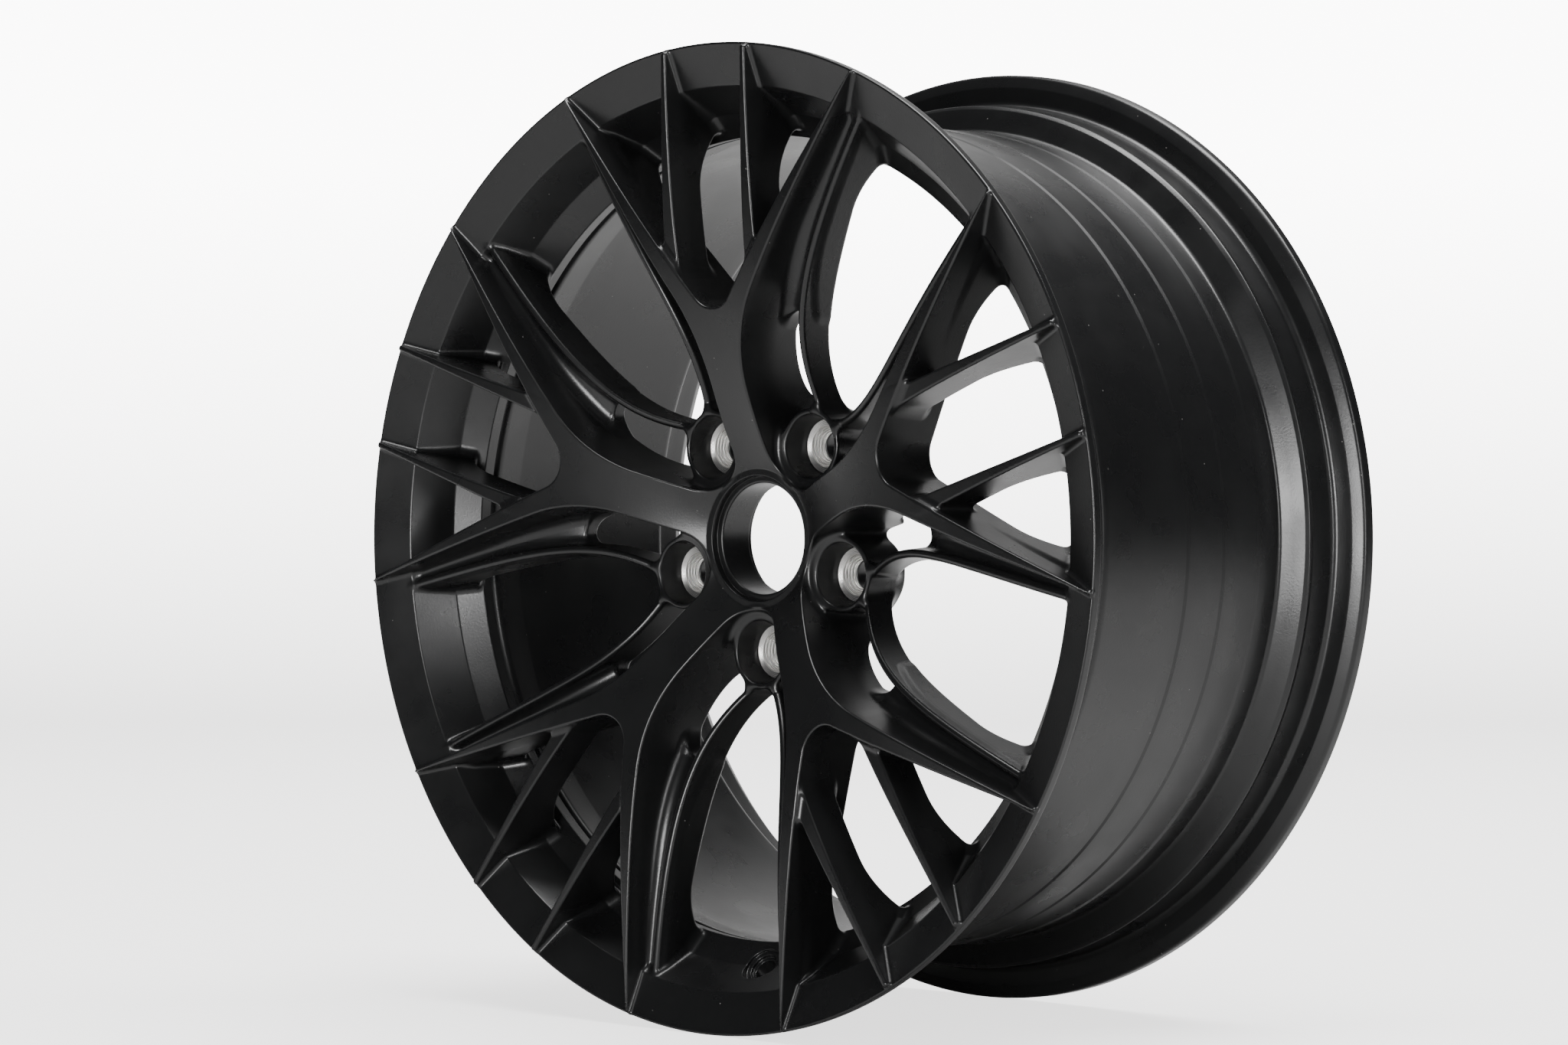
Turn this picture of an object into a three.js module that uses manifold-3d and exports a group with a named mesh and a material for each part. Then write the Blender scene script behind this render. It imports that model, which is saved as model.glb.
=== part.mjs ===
// Forged racing wheel rim, one monobloc forging in millimetres, +Z up.
// The wheel spins about +Y, its outboard face looks along -Y, and the frame's origin is the
// middle of its overall box. The forging is described by its own sections (flanges, barrel, hub,
// bolt bosses, spokes, branches and ribs), and each section is a closed solid that stops a
// hairline short of the next one. Five bright seat rings stand in the bolt bosses.
import * as THREE from 'three';
import { mergeVertices } from 'three/addons/utils/BufferGeometryUtils.js';
import Module from 'manifold-3d';

const wasm = await Module();
wasm.setup();

// ---- driving dimensions, rim ------------------------------------------------------------
const beadDiameter = 457.2;         // bead seat at the flange, an 18 inch rim
const rimWidth = 203.2;             // between the flanges' inner faces, an 8 inch rim
const flangeHeight = 17.3;          // flange above the bead seat
const flangeThickness = 10;
const beadSeatWidth = 19;
const beadTaper = 1.6;              // how much lower a bead seat is at its hump end
const humpHeight = 1.1;
const wellDepth = 16.4;             // bead seat to the drop-centre well
const wellRampFront = 14;           // length along the axis of the ramp into the well
const wellRampRear = 7;
const stepHeight = 0.5;             // each of three shallow steps that the well climbs
const stepLength = 4.6;
const stepStarts = [0.27, 0.47, 0.67]; // where they start, as a share of the well's length
const barrelWall = 5.2;
const beadWall = 4.6;
const flangeCurl = 8;               // the flange's outer edge curls back over this height
const edgeBreak = 1;
const beadFillet = 2;               // between a bead seat and its flange
const seatSplit = 3;                // the hump's foot, where a flange section ends
const splitRun = 3;                 // beyond a ramp's foot, where the barrel section starts
const lipWall = 3.6;                // metal between the bead seat and the outboard cone
const lipRecess = 8.6;              // how far the outboard cone falls behind the flange's face
const lipWallLength = 20.2;         // the wall behind the cone, along the axis
const lipWallDrop = 11.6;           // and how much it closes in along that length
const shoulderLength = 9.8;         // the slanted shoulder from that wall to the barrel
const shoulderDrop = 11.4;
const barrelTaperLength = 31;       // the barrel's inside opens out to its plain bore over this
const rearBoreRise = 1.5;           // and by this much more before the inboard bead seat

// ---- driving dimensions, centre ---------------------------------------------------------
const insetET = 44;                 // rim centre plane to mounting face
const boreDiameter = 56.1;
const boltCircle = 114.3;
const boltCount = 5;
const boltHoleDiameter = 14;
const counterboreDiameter = 28;
const counterboreDepth = 13;
const seatHeight = 7;
const seatRim = 3.2;                // flat rim of a seat ring around its cone
const seatCone = 60;                // degrees across the nut's cone
const hubFaceDepth = 37.5;          // hub face behind the outboard flange plane
const bossFaceDepth = 40.6;
const recessLedge = 3.45;           // width of the step around the bore in the hub face
const recessDepth = 5;
const padRadius = 73;               // mounting pad's outer edge
const pocketRadius = 22;            // pocket wall around a bolt hole

// ---- driving dimensions, spokes ---------------------------------------------------------
const spokeProud = 2.5;             // spoke face in front of the flange, once it has levelled out
const faceFallPower = 3;            // how quickly the dished face flattens outwards
const faceLevelShort = 20;          // how far inside the flange's edge it has levelled out
const splitRadius = 115;            // where a spoke divides into its two legs
const splitDrop = 13;               // the outer end of the cut between spoke and leg, inwards
const crotchRun = 11;               // the leg's inner edge starts this far outside the crotch
const legSlope = 0.7;               // tangential run of a leg for each millimetre of radius
const legRootWidth = 18;            // tangential width of a leg
const legTipWidth = 9.8;
const sweepRadius = 88;             // concave sweep of a spoke's flank into its leg
const sweepSetback = 6;             // the sweep starts this far inside the pocket's outer end
const branchOffset = 27;            // a thin branch's centre line beside the spoke's centre line
const branchRootWidth = 9;
const branchTipWidth = 4.5;
const branchDrop = 4;               // branch root below the leg's face
const ribThickness = 4;
const ribFootAngle = 65;            // degrees around the bolt boss to a rib's foot
const ribTipClear = 5.6;            // rib centre line to the leg's side, at the rim
const ribFootReach = [27.8, 29.5];  // pull of the rib's line at its foot: sideways, outwards
const ribTipReach = [11, 105.6];    // and at its tip: sideways, inwards
const ribTipSink = 0.6;             // its crest meets the rim this far behind the cone's inner edge
const ribFallPower = 2.67;
const ribLevelShort = 12;
const webDrop = 7;                  // valley floor between rib and leg, below the rib's crest
const webRun = 43;                  // how far outside the boss that valley floor starts
const backDepthTip = 25;            // back of a spoke where it meets the rim
const backRisePower = 0.5;
const valveHoleDiameter = 11.3;
const valveSpotDiameter = 20.5;
const valveSpotDepth = 1.5;
const valveAngle = 273.3;           // degrees from +X towards +Z
const valveTilt = 50;               // degrees that the valve hole leans back from radial

const gap = 0.3;                    // hairline between neighbouring sections
const segments = 60;                // facets around the rim
const shortestEdge = 0.02;
const beyond = 20;                  // how far cutters and untrimmed ends reach past the metal
const spokeCount = 5;
const firstSpoke = 18;              // degrees from +X towards +Z

// ---- sizes worked out from them ---------------------------------------------------------
const sector = 360 / spokeCount;
const beadRadius = beadDiameter / 2;
const flangeRadius = beadRadius + flangeHeight;
const overallDepth = rimWidth + 2 * flangeThickness;
const originDepth = (overallDepth - spokeProud) / 2;
const mountDepth = overallDepth / 2 - insetET;
const boltRadius = boltCircle / 2;
const wellRadius = beadRadius - wellDepth;
const boreRadius = boreDiameter / 2;
const hubRadius = boltRadius - pocketRadius - gap;
const stemHalfWidth = boltRadius * Math.sin(THREE.MathUtils.degToRad(sector / 2)) - pocketRadius;
const recessRadius = boreRadius + recessLedge;
const lipRadius = beadRadius - lipWall;
const lipWallEnd = lipRecess + lipWallLength;
const ribTipDepth = lipRecess + ribTipSink;
const lipWallRadius = lipRadius - lipWallDrop;
const shoulderEnd = lipWallEnd + shoulderLength;
const shoulderRadius = lipWallRadius - shoulderDrop;
const humpFront = flangeThickness + beadSeatWidth;
const humpRear = overallDepth - humpFront;
const humpFoot = 2;
const wellStart = humpFront + humpFoot + wellRampFront;
const wellEnd = humpRear - humpFoot - wellRampRear;
const barrelBore = wellRadius - barrelWall;
const splitFront = flangeThickness + beadSeatWidth - seatSplit;
const splitRear = overallDepth - splitFront;
const barrelFront = wellStart + splitRun;
const barrelRear = wellEnd - splitRun;

const black = { color: 0x17181a, roughness: 0.42, metalness: 0.35 };
const bare = { color: 0xc9c8c4, roughness: 0.3, metalness: 1 };
const group = new THREE.Group();

// ---- helpers ----------------------------------------------------------------------------
// A closed three.js geometry as a manifold solid, with its shared corners merged.
function solid(geometry) {
  const plain = geometry.clone();
  plain.deleteAttribute('normal');
  plain.deleteAttribute('uv');
  const merged = mergeVertices(plain, 1e-4);
  return new wasm.Manifold(new wasm.Mesh({
    numProp: 3,
    vertProperties: new Float32Array(merged.attributes.position.array),
    triVerts: new Uint32Array(merged.index.array),
  }));
}

// A manifold solid as a named mesh in the group. Edges too short to matter are closed up.
function add(name, body, finish) {
  const mesh = body.simplify(shortestEdge).getMesh();
  const geometry = new THREE.BufferGeometry();
  geometry.setAttribute('position', new THREE.BufferAttribute(mesh.vertProperties, 3));
  geometry.setIndex(new THREE.BufferAttribute(mesh.triVerts, 1));
  geometry.computeVertexNormals();
  const node = new THREE.Mesh(geometry, new THREE.MeshStandardMaterial(finish));
  node.name = name;
  group.add(node);
}

// A ring turned about Y from a closed outline of [radius, depth] corners. Its facets, not its
// corners, touch the stated radius, and one of them lies flat at the bottom.
function turned(corners, count = segments) {
  const across = 1 / Math.cos(Math.PI / count);
  const outline = corners.map(([radius, depth]) => new THREE.Vector2(radius * across, depth - originDepth));
  if (THREE.ShapeUtils.isClockWise(outline)) outline.reverse();
  outline.push(outline[0].clone());
  return solid(new THREE.LatheGeometry(outline, count, Math.PI / count));
}

// A cylinder along Y between two depths, standing at a point of the face plane.
function drilled(radius, front, back, x = 0, z = 0, count = 20) {
  const corner = radius / Math.cos(Math.PI / count);
  const geometry = new THREE.CylinderGeometry(corner, corner, back - front, count);
  geometry.rotateY(Math.PI / count);
  geometry.translate(x, (front + back) / 2 - originDepth, z);
  return solid(geometry);
}

// Share of the way from one radius to another, from 0 to 1.
const share = (radius, from, to) => THREE.MathUtils.clamp((radius - from) / (to - from), 0, 1);

// Depth of the spokes' outboard face at a radius: a dished centre that runs out level.
const faceDepth = (radius) => (hubFaceDepth + edgeBreak + spokeProud)
  * (1 - share(radius, hubRadius, flangeRadius - faceLevelShort)) ** faceFallPower - spokeProud;

// Depth of the rib crests, which fall away from the bosses in the same way.
const ribDepth = (radius) => (bossFaceDepth - ribTipDepth)
  * (1 - share(radius, boltRadius + pocketRadius - edgeBreak, flangeRadius - ribLevelShort))
  ** ribFallPower + ribTipDepth;
const webDepth = (radius) => ribDepth(radius) + webDrop;

// Depth of the spokes' inboard side, which rises from the mounting pad to the barrel's shoulder.
const backDepth = (radius) => mountDepth - (mountDepth - backDepthTip)
  * share(radius, padRadius, shoulderRadius) ** backRisePower;

// Turns a plan point about the axis by degrees from +Z towards -X.
function swing([x, z], degrees) {
  const angle = THREE.MathUtils.degToRad(degrees);
  return [x * Math.cos(angle) - z * Math.sin(angle), x * Math.sin(angle) + z * Math.cos(angle)];
}

// Adds corners along each straight run of a closed plan outline, so that it can follow a dish.
function divided(points, step = 16) {
  return points.flatMap(([x, z], i) => {
    const [u, v] = points[(i + 1) % points.length];
    const parts = Math.max(1, Math.round(Math.hypot(u - x, v - z) / step));
    return Array.from({ length: parts }, (_, k) => [x + (u - x) * k / parts, z + (v - z) * k / parts]);
  });
}

// A slab with a plan outline whose two sides follow depth functions of the radius.
function slab(points, front, back, turn = 0) {
  const outline = divided(points).map(([x, z]) => new THREE.Vector2(x, z));
  if (THREE.ShapeUtils.isClockWise(outline)) outline.reverse();
  const geometry = new THREE.ExtrudeGeometry(new THREE.Shape(outline), { depth: 1, bevelEnabled: false });
  const place = geometry.attributes.position;
  for (let i = 0; i < place.count; i += 1) {
    const [x, z] = [place.getX(i), place.getY(i)];
    const radius = Math.hypot(x, z);
    const depth = place.getZ(i) > 0.5 ? front(radius) : back(radius);
    const [u, v] = swing([x, z], turn);
    place.setXYZ(i, u, depth - originDepth, v);
  }
  return solid(geometry);
}

// Points on an arc of the plan, from one angle to another, degrees from +X towards +Z.
function arc(x, z, radius, from, to, count) {
  return Array.from({ length: count + 1 }, (_, i) => {
    const angle = THREE.MathUtils.degToRad(from + (to - from) * i / count);
    return [x + radius * Math.cos(angle), z + radius * Math.sin(angle)];
  });
}

// A closed plan outline moved outwards by a distance, each corner along its bisector.
function grown(points, by) {
  const around = THREE.ShapeUtils.isClockWise(points.map(([x, z]) => new THREE.Vector2(x, z))) ? -1 : 1;
  const side = ([x0, z0], [x1, z1]) => {
    const length = Math.hypot(x1 - x0, z1 - z0);
    return [around * (z1 - z0) / length, -around * (x1 - x0) / length];
  };
  return points.map((point, i) => {
    const before = side(points.at(i - 1), point);
    const after = side(point, points[(i + 1) % points.length]);
    const scale = by / Math.max(0.3, 1 + before[0] * after[0] + before[1] * after[1]);
    return [point[0] + scale * (before[0] + after[0]), point[1] + scale * (before[1] + after[1])];
  });
}

const mirrored = (points) => points.map(([x, z]) => [-x, z]).reverse();

// ---- the rim: flanges, bead seats and barrel ----------------------------------------------
const seatLow = beadRadius - beadTaper;
const rearBore = seatLow - beadWall;
const barrelOpen = barrelBore + rearBoreRise;
const lipWallAt = (depth) => lipRadius - lipWallDrop * (depth - lipRecess) / lipWallLength;
const barrelInside = (depth) => shoulderRadius
  + (barrelBore - shoulderRadius) * (depth - shoulderEnd) / barrelTaperLength;

// The valve hole leans back through the corner between the lip's wall and the shoulder.
function valveTool(diameter, inner, outer) {
  const geometry = new THREE.CylinderGeometry(diameter / 2, diameter / 2, outer - inner, 24);
  geometry.translate(0, (outer + inner) / 2, 0);
  geometry.rotateZ(THREE.MathUtils.degToRad(valveTilt - 90));
  geometry.translate(lipWallRadius, lipWallEnd - originDepth, 0);
  geometry.rotateY(THREE.MathUtils.degToRad(-valveAngle));
  return solid(geometry);
}
const valveCut = valveTool(valveHoleDiameter, -beyond, beyond)
  .add(valveTool(valveSpotDiameter, -beyond, valveSpotDepth));

add('outboard_flange', turned([
  [lipRadius, lipRecess],
  [flangeRadius - edgeBreak, 0],
  [flangeRadius, edgeBreak],
  [flangeRadius, flangeThickness * 0.55],
  [flangeRadius - flangeCurl * 0.6, flangeThickness - edgeBreak],
  [flangeRadius - flangeCurl, flangeThickness],
  [beadRadius + beadFillet, flangeThickness],
  [beadRadius, flangeThickness + beadFillet],
  [seatLow, splitFront],
  [lipWallAt(splitFront), splitFront],
]).subtract(valveCut), black);

add('outboard_bead_seat', turned([
  [lipWallAt(splitFront + gap), splitFront + gap],
  [seatLow, splitFront + gap],
  [seatLow + humpHeight, humpFront],
  [seatLow - edgeBreak, humpFront + humpFoot],
  [wellRadius, wellStart],
  [wellRadius, barrelFront],
  [barrelInside(barrelFront), barrelFront],
  [shoulderRadius, shoulderEnd],
  [lipWallRadius, lipWallEnd],
]).subtract(valveCut), black);

const stepCorners = stepStarts.flatMap((start, i) => {
  const depth = wellStart + (wellEnd - wellStart) * start;
  return [[wellRadius + stepHeight * i, depth], [wellRadius + stepHeight * (i + 1), depth + stepLength]];
});
const wellTop = wellRadius + stepHeight * stepStarts.length;
add('rim_barrel', turned([
  [barrelInside(barrelFront + gap), barrelFront + gap],
  [wellRadius, barrelFront + gap],
  ...stepCorners,
  [wellTop, barrelRear - gap],
  [barrelOpen, barrelRear - gap],
  [barrelBore, shoulderEnd + barrelTaperLength],
]), black);

add('inboard_bead_seat', turned([
  [barrelOpen, barrelRear],
  [wellTop, barrelRear],
  [wellTop, wellEnd],
  [seatLow - edgeBreak, humpRear - humpFoot],
  [seatLow + humpHeight, humpRear],
  [seatLow, splitRear - gap],
  [rearBore, splitRear - gap],
  [rearBore - humpFoot, humpRear],
]), black);

add('inboard_flange', turned([
  [rearBore, splitRear],
  [seatLow, splitRear],
  [beadRadius, overallDepth - flangeThickness - beadFillet],
  [beadRadius + beadFillet, overallDepth - flangeThickness],
  [flangeRadius - flangeCurl, overallDepth - flangeThickness],
  [flangeRadius - flangeCurl * 0.6, overallDepth - flangeThickness + edgeBreak],
  [flangeRadius, overallDepth - flangeThickness * 0.55],
  [flangeRadius, overallDepth - edgeBreak],
  [flangeRadius - edgeBreak, overallDepth],
  [flangeRadius - flangeCurl, overallDepth],
  [beadRadius + beadFillet, overallDepth - beadWall],
  [rearBore, overallDepth - flangeThickness - beadFillet],
]), black);

// Everything outside the rim's inner side, grown by the hairline: it trims the spokes' ends.
const rimTrim = turned([
  [flangeRadius - gap, -beyond],
  [flangeRadius - gap, -gap],
  [flangeRadius - edgeBreak, -gap],
  [lipRadius - gap, lipRecess - gap],
  [lipWallRadius - gap, lipWallEnd - gap],
  [shoulderRadius - gap, shoulderEnd - gap],
  [shoulderRadius - gap, overallDepth],
  [flangeRadius * 2, overallDepth],
  [flangeRadius * 2, -beyond],
]);

// ---- the hub ----------------------------------------------------------------------------
const hubSides = 40;
const hubFlat = hubRadius * Math.cos(Math.PI / hubSides); // its corners stay inside hubRadius
const recessFloor = hubFaceDepth + recessDepth;
add('hub_center', turned([
  [boreRadius, recessFloor],
  [recessRadius, recessFloor],
  [recessRadius, hubFaceDepth],
  [hubFlat - edgeBreak / 2, hubFaceDepth],
  [hubFlat, hubFaceDepth + edgeBreak / 2],
  [hubFlat, mountDepth],
  [boreRadius, mountDepth],
], hubSides), black);

// ---- plan outlines, each about a spoke or a pocket that points up ------------------------
const half = sector / 2;
const reach = flangeRadius + beyond;
const pocketAt = swing([0, boltRadius], -half);
const sweepStart = boltRadius + pocketRadius - sweepSetback;
const sweepAngle = THREE.MathUtils.radToDeg(Math.atan(legSlope));
const sweep = arc(stemHalfWidth + sweepRadius, sweepStart, sweepRadius, 180, 180 - sweepAngle, 5);
const legOuterRoot = sweep.at(-1);
const legOuterTip = [legOuterRoot[0] + legSlope * (reach - legOuterRoot[1]), reach];

// A spoke's flank, at a distance along the spoke: straight, then the sweep, then the leg's side.
function flankAt(z) {
  if (z <= sweepStart) return stemHalfWidth;
  if (z >= legOuterRoot[1]) return legOuterRoot[0] + legSlope * (z - legOuterRoot[1]);
  return stemHalfWidth + sweepRadius - Math.sqrt(sweepRadius ** 2 - (z - sweepStart) ** 2);
}

// Cut line between spoke and leg: it starts at the crotch and falls outwards.
const cutZ = splitRadius - splitDrop;
const cutOuter = [flankAt(cutZ), cutZ];
const aboveCut = sweep.filter(([, z]) => z > cutZ + edgeBreak);
const belowCut = sweep.filter(([, z]) => z < cutZ - edgeBreak);

// The spoke's stem: a wedge-shaped foot on the hub, straight flanks and a flared top. The
// middles of its foot's short sides, not their ends, lie on the pocket's and the hub's circles.
const footStep = half * 0.3;
const footGrowth = 1 / Math.cos(THREE.MathUtils.degToRad(footStep / 2));
const pocketWall = arc(...pocketAt, pocketRadius * footGrowth, 180 + 5 * footStep, 180, 5);
const hubEdge = arc(0, 0, (hubRadius + gap) * footGrowth, 90 - 3 * footStep, 90 + 3 * footStep, 6);
const rightFlank = [...pocketWall.filter(([x, z]) => Math.hypot(x, z) > hubRadius + 2 * gap),
  [stemHalfWidth, pocketAt[1]], ...belowCut, cutOuter];
const stemPlan = [...rightFlank, [0, splitRadius], ...mirrored(rightFlank), ...hubEdge.reverse()];

// One leg, from the cut to the flange, tapering towards its tip.
const legInnerRoot = [flankAt(splitRadius + crotchRun) - legRootWidth * 0.72, splitRadius + crotchRun];
const legInnerTip = [legOuterTip[0] - legTipWidth, legOuterTip[1]];
const legPlan = [[gap, splitRadius + gap], [cutOuter[0] + gap * 0.2, cutZ + 2 * gap],
  ...aboveCut, legOuterTip, legInnerTip, legInnerRoot];

// One thin branch, from the leg's inner edge to the flange.
const innerSlope = (legInnerTip[0] - legInnerRoot[0]) / (legInnerTip[1] - legInnerRoot[1]);
const onLeg = (x) => legInnerRoot[1] + (x - legInnerRoot[0]) / innerSlope;
const branchFoot = branchOffset + branchRootWidth;
const branchThroat = branchOffset - branchRootWidth * 0.8;
const branchPlan = [
  [branchThroat, onLeg(branchThroat) - gap],
  [branchFoot, onLeg(branchFoot) - gap],
  [branchFoot - edgeBreak, onLeg(branchFoot) + branchRootWidth * 0.6],
  [branchOffset + branchTipWidth * 0.8, onLeg(branchFoot) + branchRootWidth * 1.8],
  [branchOffset + branchTipWidth / 2, reach],
  [branchOffset - branchTipWidth / 2, reach],
];
const branchFace = (radius) => faceDepth(radius)
  + branchDrop * (1 - share(radius, splitRadius, flangeRadius));

// The leg beside a pocket, seen in the pocket's frame: its side as a line.
const [sideRoot, sideTip] = [legOuterRoot, legOuterTip].map(([x, z]) => swing([-x, z], -half));
const sideSlope = (sideTip[0] - sideRoot[0]) / (sideTip[1] - sideRoot[1]);
const legSide = (z) => sideRoot[0] + sideSlope * (z - sideRoot[1]);

// A rib beside a pocket: a thin wall along a curve, from the bolt boss out to the rim.
const footTurn = THREE.MathUtils.degToRad(ribFootAngle);
const ribFoot = [pocketRadius * Math.cos(footTurn), boltRadius + pocketRadius * Math.sin(footTurn)];
const ribTip = [legSide(flangeRadius) - ribTipClear, flangeRadius];
const ribLine = new THREE.CubicBezierCurve(...[
  ribFoot,
  [ribFoot[0] + ribFootReach[0], ribFoot[1] + ribFootReach[1]],
  [ribTip[0] - ribTipReach[0], ribTip[1] - ribTipReach[1]],
  ribTip,
].map(([x, z]) => new THREE.Vector2(x, z)));
function besideRib(offset, samples = 10) {
  return Array.from({ length: samples }, (_, i) => {
    const point = ribLine.getPoint(i / (samples - 1));
    const along = ribLine.getTangent(i / (samples - 1));
    return [point.x + along.y * offset, point.y - along.x * offset];
  });
}
const ribEdge = besideRib(ribThickness / 2);
const ribPlan = [...ribEdge, ...besideRib(-ribThickness / 2).reverse()];

// The valley floor between a rib and the leg beside it.
const webStart = boltRadius + pocketRadius + webRun;
const webEdge = ribEdge.filter(([, z]) => z > webStart).map(([x, z]) => [x - ribThickness / 4, z]);
const webTop = webEdge.at(-1)[1];
const webPlan = [...webEdge, [legSide(webTop) + ribThickness, webTop],
  [legSide(webStart) + ribThickness, webStart + ribThickness]];

// ---- spokes, each with two legs and two thin branches --------------------------------------
// The room that a leg takes up, with the hairline around it, through the whole depth.
const legRoom = (points, turn) => slab(grown(points, gap), () => -beyond, () => overallDepth, turn);
const sides = { left: -1, right: 1 };

for (let k = 0; k < spokeCount; k += 1) {
  const turn = firstSpoke - 90 + sector * k;
  add(`spoke_${k + 1}`, slab(stemPlan, faceDepth, backDepth, turn), black);

  for (const [side, sign] of Object.entries(sides)) {
    const sided = (points) => (sign > 0 ? points : mirrored(points));
    const leg = slab(sided(legPlan), faceDepth, backDepth, turn).subtract(rimTrim);
    add(`leg_${side}_${k + 1}`, leg, black);

    const branch = slab(sided(branchPlan), branchFace, backDepth, turn)
      .subtract(legRoom(sided(legPlan), turn))
      .subtract(rimTrim);
    add(`branch_${side}_${k + 1}`, branch, black);
  }
}

// ---- pockets, each with a bolt boss, its seat ring and two ribs ----------------------------
const bossSides = 32;
const bossFlat = (pocketRadius - gap) * Math.cos(Math.PI / bossSides);
const seatTop = bossFaceDepth + counterboreDepth;
const seatFloor = seatTop + seatHeight;
const seatOuter = counterboreDiameter / 2 - gap;
const seatInner = boltHoleDiameter / 2 + gap;
const seatMouth = seatOuter - seatRim;
const coneDepth = (seatMouth - seatInner) / Math.tan(THREE.MathUtils.degToRad(seatCone / 2));
const seatRing = turned([
  [seatInner, Math.min(seatTop + coneDepth, seatFloor - edgeBreak)],
  [seatMouth, seatTop],
  [seatOuter, seatTop],
  [seatOuter, seatFloor],
  [seatInner, seatFloor],
], 20);

for (let k = 0; k < boltCount; k += 1) {
  const turn = firstSpoke - 90 + sector * k + half;
  const [x, z] = swing([0, boltRadius], turn);
  const boss = drilled(bossFlat, bossFaceDepth, mountDepth, x, z, bossSides)
    .subtract(drilled(counterboreDiameter / 2, bossFaceDepth - beyond, seatFloor + gap, x, z))
    .subtract(drilled(boltHoleDiameter / 2, bossFaceDepth - beyond, mountDepth + beyond, x, z));
  add(`bolt_boss_${k + 1}`, boss, black);
  add(`bolt_seat_${k + 1}`, seatRing.translate([x, 0, z]), bare);

  const around = drilled(pocketRadius, -beyond, mountDepth + beyond, x, z, bossSides);
  for (const [side, sign] of Object.entries(sides)) {
    const sided = (points) => (sign > 0 ? points : mirrored(points));
    const beside = legRoom(sided(mirrored(legPlan)), turn - half * sign);
    const rib = slab(sided(ribPlan), ribDepth, backDepth, turn)
      .add(slab(sided(webPlan), webDepth, backDepth, turn))
      .subtract(rimTrim)
      .subtract(around)
      .subtract(beside);
    add(`rib_${side}_${k + 1}`, rib, black);
  }
}

export default group;
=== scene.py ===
# %% [markdown]
# # A forged racing wheel, cell by cell
# The part is one forging in satin black powder coat with five bright seat rings let into it.
# The imported model gives every size and place. This first cell loads it and moves each node's
# placement into its mesh.

# %% Load the frame
import math
import bmesh
import bpy
import numpy as np
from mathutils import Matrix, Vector


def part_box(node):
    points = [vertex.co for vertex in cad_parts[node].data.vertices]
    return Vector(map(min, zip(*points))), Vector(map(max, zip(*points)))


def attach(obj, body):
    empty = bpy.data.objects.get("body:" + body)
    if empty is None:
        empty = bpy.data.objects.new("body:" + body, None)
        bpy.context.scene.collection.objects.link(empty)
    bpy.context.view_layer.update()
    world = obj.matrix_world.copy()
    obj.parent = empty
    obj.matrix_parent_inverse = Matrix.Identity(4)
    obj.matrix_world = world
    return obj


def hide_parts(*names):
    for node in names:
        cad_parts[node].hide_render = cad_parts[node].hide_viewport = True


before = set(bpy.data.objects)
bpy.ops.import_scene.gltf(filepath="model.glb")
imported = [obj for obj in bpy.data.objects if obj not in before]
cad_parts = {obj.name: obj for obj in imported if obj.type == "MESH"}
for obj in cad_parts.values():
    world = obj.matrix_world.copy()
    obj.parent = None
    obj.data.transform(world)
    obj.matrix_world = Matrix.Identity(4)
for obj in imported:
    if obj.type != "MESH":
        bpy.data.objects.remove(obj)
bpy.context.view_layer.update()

print("nodes in the frame:", len(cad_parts))

# %% [markdown]
# ## Sizes
# All shapes below are worked out in millimetres, with three plain measures: the radius from the
# spin axis, the depth behind the outboard flange's face, and the angle from a spoke's centre
# line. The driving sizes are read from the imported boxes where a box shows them.

# %% Sizes taken from the frame
MM = 0.001
low, high = (np.array(corner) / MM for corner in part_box("outboard_flange"))
flange_radius = (high[2] - low[2]) / 2
face_plane = low[1]                       # where depth is zero on the Y axis
hub_low, hub_high = (np.array(corner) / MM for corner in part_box("hub_center"))
mount_depth = hub_high[1] - face_plane
hub_depth = hub_low[1] - face_plane
boss_low, boss_high = (np.array(corner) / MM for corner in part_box("bolt_boss_4"))
bolt_radius = -(boss_low[2] + boss_high[2]) / 2
boss_depth = boss_low[1] - face_plane
seat_low, seat_high = (np.array(corner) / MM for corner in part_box("bolt_seat_4"))
seat_depth = seat_low[1] - face_plane
seat_floor = seat_high[1] - face_plane
spoke_low, spoke_high = (np.array(corner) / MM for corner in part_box("leg_left_1"))
spoke_proud = face_plane - spoke_low[1]
rear_depth = np.array(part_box("inboard_flange")[1])[1] / MM - face_plane
print(f"flange {flange_radius:.1f}, depth {rear_depth:.1f}, hub {hub_depth:.1f}")
print(f"mounting face {mount_depth:.1f}")

# %% Sizes of the forging's own features
# Radii are measured from the spin axis, except around a bolt hole, where they are measured from
# that hole's own axis. Depths count from the outboard flange's face.
spokes = 5
first_spoke = 18.0                        # degrees from +X towards +Z
half_sector = math.pi / spokes
pocket_radius = 22.0
boss_radius = 18.6
boss_rim_edge = 1.2
counterbore_flare = 2.0
rear_bore_radius = 31.0
rear_bore_depth = 5.0
counterbore_radius = 14.0
bolt_hole_radius = 7.0
bore_radius = 28.05
recess_radius = 31.5
recess_depth = 5.0
recess_edge = 0.5
bore_edge = 0.9
well_edge = 0.9
well_clear = 0.3                          # the counterbore's floor lies this far under the seat
hole_edge = 0.6
rear_bore_edge = 0.8
stem_half = bolt_radius * math.sin(half_sector) - pocket_radius
sweep_radius = 88.0
sweep_start = bolt_radius + pocket_radius - 6.0
leg_slope = 0.70
crotch_z = 115.0
crotch_radius = 15.0
inner_slope = 0.824
branch_x = 27.0
pad_radius = 73.0
tip_back = 25.0                           # depth of a spoke's back just inside the rim
face_start, face_end = 35.0, 226.0        # radii between which a spoke's face falls and levels
crest_start, crest_end = 78.0, 234.0      # the same for a rib's crest
crest_tip = 9.2                           # depth of that crest at the rim
branch_wall = 21.0                        # height of a branch's side
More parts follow.
